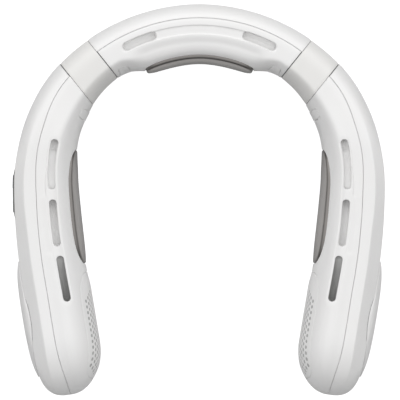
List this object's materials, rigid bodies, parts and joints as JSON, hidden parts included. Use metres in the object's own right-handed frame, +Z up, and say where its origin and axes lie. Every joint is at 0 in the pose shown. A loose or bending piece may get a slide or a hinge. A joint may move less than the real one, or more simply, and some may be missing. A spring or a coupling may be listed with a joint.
{
  "type": "electric neck fan",
  "caption": "Wearable horseshoe neck fan: a curved neck piece, sprung hinged arms with a fan in each nose, air slots on top and cooling plates inside.",
  "frame": {"origin": "middle of the floor under the part, at the centre of its outline", "axes": "+Z up, +Y towards the nape of the neck, the arms reach towards -Y, +X to the viewer's right from above"},
  "size_m": [0.1861, 0.1958, 0.056],
  "materials": {
    "white_shell": "fine satin moulded",
    "white_cover": "fine satin moulded",
    "warm_silicone": "soft matte",
    "brushed_aluminium": "bead-blasted, anodised warm grey",
    "heat_sink_aluminium": "mill finish",
    "white_ceramic": "matte",
    "circuit_board_green": "solder mask",
    "steel": "plain",
    "dark_plastic": "moulded",
    "black_gloss_plastic": "polished",
    "grey_rubber_button": "soft matte",
    "grey_plastic": "moulded",
    "battery_wrap": "shrink wrap",
    "foam": "open-cell foam"
  },
  "bodies": {
    "neck": {"neck_outer_shell": "white_shell", "neck_inner_shell": "white_shell", "neck_cooling_plate": "brushed_aluminium", "neck_thermoelectric_module": "white_ceramic", "neck_heat_sink": "heat_sink_aluminium", "main_circuit_board": "circuit_board_green", "charging_socket": "steel", "left_neck_duct": "white_shell", "left_neck_strip": "white_shell", "left_hinge_sleeve": "warm_silicone", "left_neck_bracket": "dark_plastic", "left_neck_leaf": "steel", "left_neck_screws": "steel", "left_hinge_pin": "steel", "right_neck_duct": "white_shell", "right_neck_strip": "white_shell", "right_hinge_sleeve": "warm_silicone", "right_neck_bracket": "dark_plastic", "right_neck_leaf": "steel", "right_neck_screws": "steel", "right_hinge_pin": "steel"},
    "left_arm": {"left_arm_bracket": "dark_plastic", "left_arm_leaf": "steel", "left_arm_screws": "steel", "left_arm_strip": "white_shell", "left_outer_shell": "white_shell", "left_inner_shell": "white_shell", "left_cooling_plate": "brushed_aluminium", "left_thermoelectric_module": "white_ceramic", "left_heat_sink": "heat_sink_aluminium", "left_air_duct": "white_shell", "left_battery": "battery_wrap", "left_battery_pad": "foam", "left_fan_housing": "grey_plastic", "left_fan_motor": "steel", "left_intake_cover": "white_cover", "left_intake_grille": "white_cover", "control_panel": "black_gloss_plastic", "control_board": "circuit_board_green"},
    "right_arm": {"right_arm_bracket": "dark_plastic", "right_arm_leaf": "steel", "right_arm_screws": "steel", "right_arm_strip": "white_shell", "right_outer_shell": "white_shell", "right_inner_shell": "white_shell", "right_cooling_plate": "brushed_aluminium", "right_thermoelectric_module": "white_ceramic", "right_heat_sink": "heat_sink_aluminium", "right_air_duct": "white_shell", "right_battery": "battery_wrap", "right_battery_pad": "foam", "right_fan_housing": "grey_plastic", "right_fan_motor": "steel", "right_intake_cover": "white_cover", "right_intake_grille": "white_cover"},
    "left_impeller": {"left_impeller": "dark_plastic"},
    "right_impeller": {"right_impeller": "dark_plastic"},
    "power_button": {"power_button": "grey_rubber_button"},
    "mode_button": {"mode_button": "grey_rubber_button"}
  },
  "joints": [
    {"name": "left_arm_hinge", "type": "hinge", "parent": "neck", "child": "left_arm", "pos_m": [-0.05316, 0.06168, 0.028], "axis": [0, 0, -1], "range_deg": [-5, 20], "stiffness_Nm_per_rad": 0.6, "deforming": ["left_hinge_sleeve"]},
    {"name": "right_arm_hinge", "type": "hinge", "parent": "neck", "child": "right_arm", "pos_m": [0.05316, 0.06168, 0.028], "axis": [0, 0, 1], "range_deg": [-5, 20], "stiffness_Nm_per_rad": 0.6, "deforming": ["right_hinge_sleeve"]},
    {"name": "left_impeller_spin", "type": "hinge", "parent": "left_arm", "child": "left_impeller", "pos_m": [-0.06834, -0.06789, 0.028], "axis": [-0.9866, -0.1633, 0], "continuous": true},
    {"name": "right_impeller_spin", "type": "hinge", "parent": "right_arm", "child": "right_impeller", "pos_m": [0.06834, -0.06789, 0.028], "axis": [0.9866, -0.1633, 0], "continuous": true},
    {"name": "power_button_press", "type": "slide", "parent": "left_arm", "child": "power_button", "axis": [0.9996, -0.0286, 0], "range_m": [0, 0.00035], "stiffness_N_per_m": 150},
    {"name": "mode_button_press", "type": "slide", "parent": "left_arm", "child": "mode_button", "axis": [0.9995, 0.0321, 0], "range_m": [0, 0.00035], "stiffness_N_per_m": 150}
  ]
}
